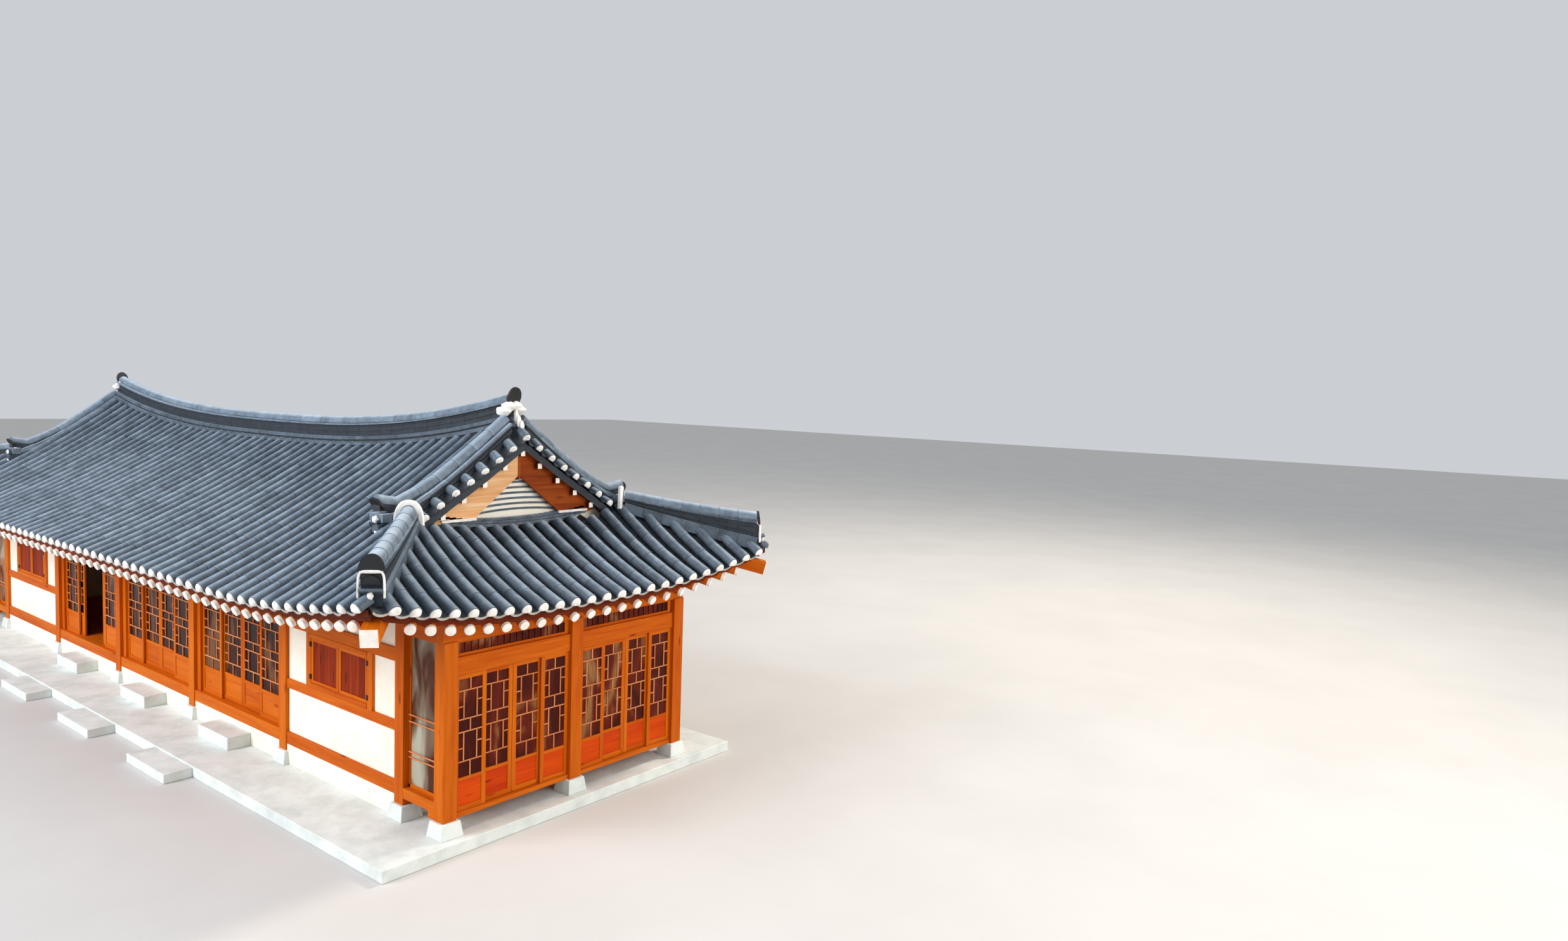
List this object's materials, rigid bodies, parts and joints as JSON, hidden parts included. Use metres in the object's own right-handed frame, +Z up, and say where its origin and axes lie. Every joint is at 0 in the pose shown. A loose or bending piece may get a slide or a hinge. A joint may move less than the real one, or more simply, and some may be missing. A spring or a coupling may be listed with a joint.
{
  "type": "hanok house",
  "caption": "Long single-storey timber house with a tiled hip-and-gable roof, sliding lattice doors, shuttered windows and a glazed veranda at each end.",
  "frame": {"origin": "on the ground in the middle of the plan", "axes": "+X along the house towards the right gable end, -Y towards the front, +Z up"},
  "size_m": [18.3064, 7.0564, 5.7057],
  "materials": {
    "pine": "varnished",
    "shutter_wood": "varnished",
    "plaster": "matte",
    "granite": "rough",
    "tile": "matte"
  },
  "bodies": {
    "house": {"front_roof": "tile", "back_roof": "tile", "right_roof": "tile", "left_roof": "tile", "main_ridge": "tile", "front_right_ridge": "tile", "back_left_ridge": "tile", "front_left_ridge": "tile", "back_right_ridge": "tile", "front_rafters": "pine", "back_rafters": "pine", "right_rafters": "pine", "left_rafters": "pine", "right_bargeboards": "pine", "left_bargeboards": "pine", "room_floor": "pine", "right_veranda_floor": "pine", "left_veranda_floor": "pine", "front_frame": "pine", "back_frame": "pine", "front_door_1_frame": "pine", "front_door_2_frame": "pine", "front_door_3_frame": "pine", "right_veranda_door_1_frame": "pine", "right_veranda_door_2_frame": "pine", "left_veranda_doors_1": "pine", "left_veranda_doors_2": "pine", "right_end_frame": "pine", "left_end_frame": "pine", "right_gable_wall": "plaster", "left_gable_wall": "plaster", "front_left_wall": "plaster", "front_right_wall": "plaster", "back_wall_1": "plaster", "back_wall_2": "plaster", "back_wall_3": "plaster", "back_wall_4": "plaster", "back_wall_5": "plaster", "right_inner_wall": "plaster", "left_inner_wall": "plaster", "stone_platform": "granite", "step_block_1": "granite", "step_block_2": "granite", "step_block_3": "granite", "front_left_shutters": "shutter_wood", "front_right_shutters": "shutter_wood", "back_left_shutters": "shutter_wood", "back_right_shutters": "shutter_wood"},
    "front_door_1_left": {"front_door_1_left": "pine"},
    "front_door_1_right": {"front_door_1_right": "pine"},
    "front_door_2_left": {"front_door_2_left": "pine"},
    "front_door_2_right": {"front_door_2_right": "pine"},
    "front_door_3_left": {"front_door_3_left": "pine"},
    "front_door_3_right": {"front_door_3_right": "pine"},
    "right_veranda_door_1_left": {"right_veranda_door_1_left": "pine"},
    "right_veranda_door_1_right": {"right_veranda_door_1_right": "pine"},
    "right_veranda_door_2_left": {"right_veranda_door_2_left": "pine"},
    "right_veranda_door_2_right": {"right_veranda_door_2_right": "pine"}
  },
  "joints": [
    {"name": "front_door_1_left_slide", "type": "slide", "parent": "house", "child": "front_door_1_left", "axis": [-1, 0, 0], "range_m": [-0.45, 0.15]},
    {"name": "front_door_1_right_slide", "type": "slide", "parent": "house", "child": "front_door_1_right", "axis": [1, 0, 0], "range_m": [-0.45, 0.15]},
    {"name": "front_door_2_left_slide", "type": "slide", "parent": "house", "child": "front_door_2_left", "axis": [-1, 0, 0], "range_m": [0, 0.6]},
    {"name": "front_door_2_right_slide", "type": "slide", "parent": "house", "child": "front_door_2_right", "axis": [1, 0, 0], "range_m": [0, 0.6]},
    {"name": "front_door_3_left_slide", "type": "slide", "parent": "house", "child": "front_door_3_left", "axis": [-1, 0, 0], "range_m": [0, 0.6]},
    {"name": "front_door_3_right_slide", "type": "slide", "parent": "house", "child": "front_door_3_right", "axis": [1, 0, 0], "range_m": [0, 0.6]},
    {"name": "right_veranda_door_1_left_slide", "type": "slide", "parent": "house", "child": "right_veranda_door_1_left", "axis": [0, -1, 0], "range_m": [0, 0.42]},
    {"name": "right_veranda_door_1_right_slide", "type": "slide", "parent": "house", "child": "right_veranda_door_1_right", "axis": [0, 1, 0], "range_m": [0, 0.42]},
    {"name": "right_veranda_door_2_left_slide", "type": "slide", "parent": "house", "child": "right_veranda_door_2_left", "axis": [0, -1, 0], "range_m": [0, 0.42]},
    {"name": "right_veranda_door_2_right_slide", "type": "slide", "parent": "house", "child": "right_veranda_door_2_right", "axis": [0, 1, 0], "range_m": [0, 0.42]}
  ]
}
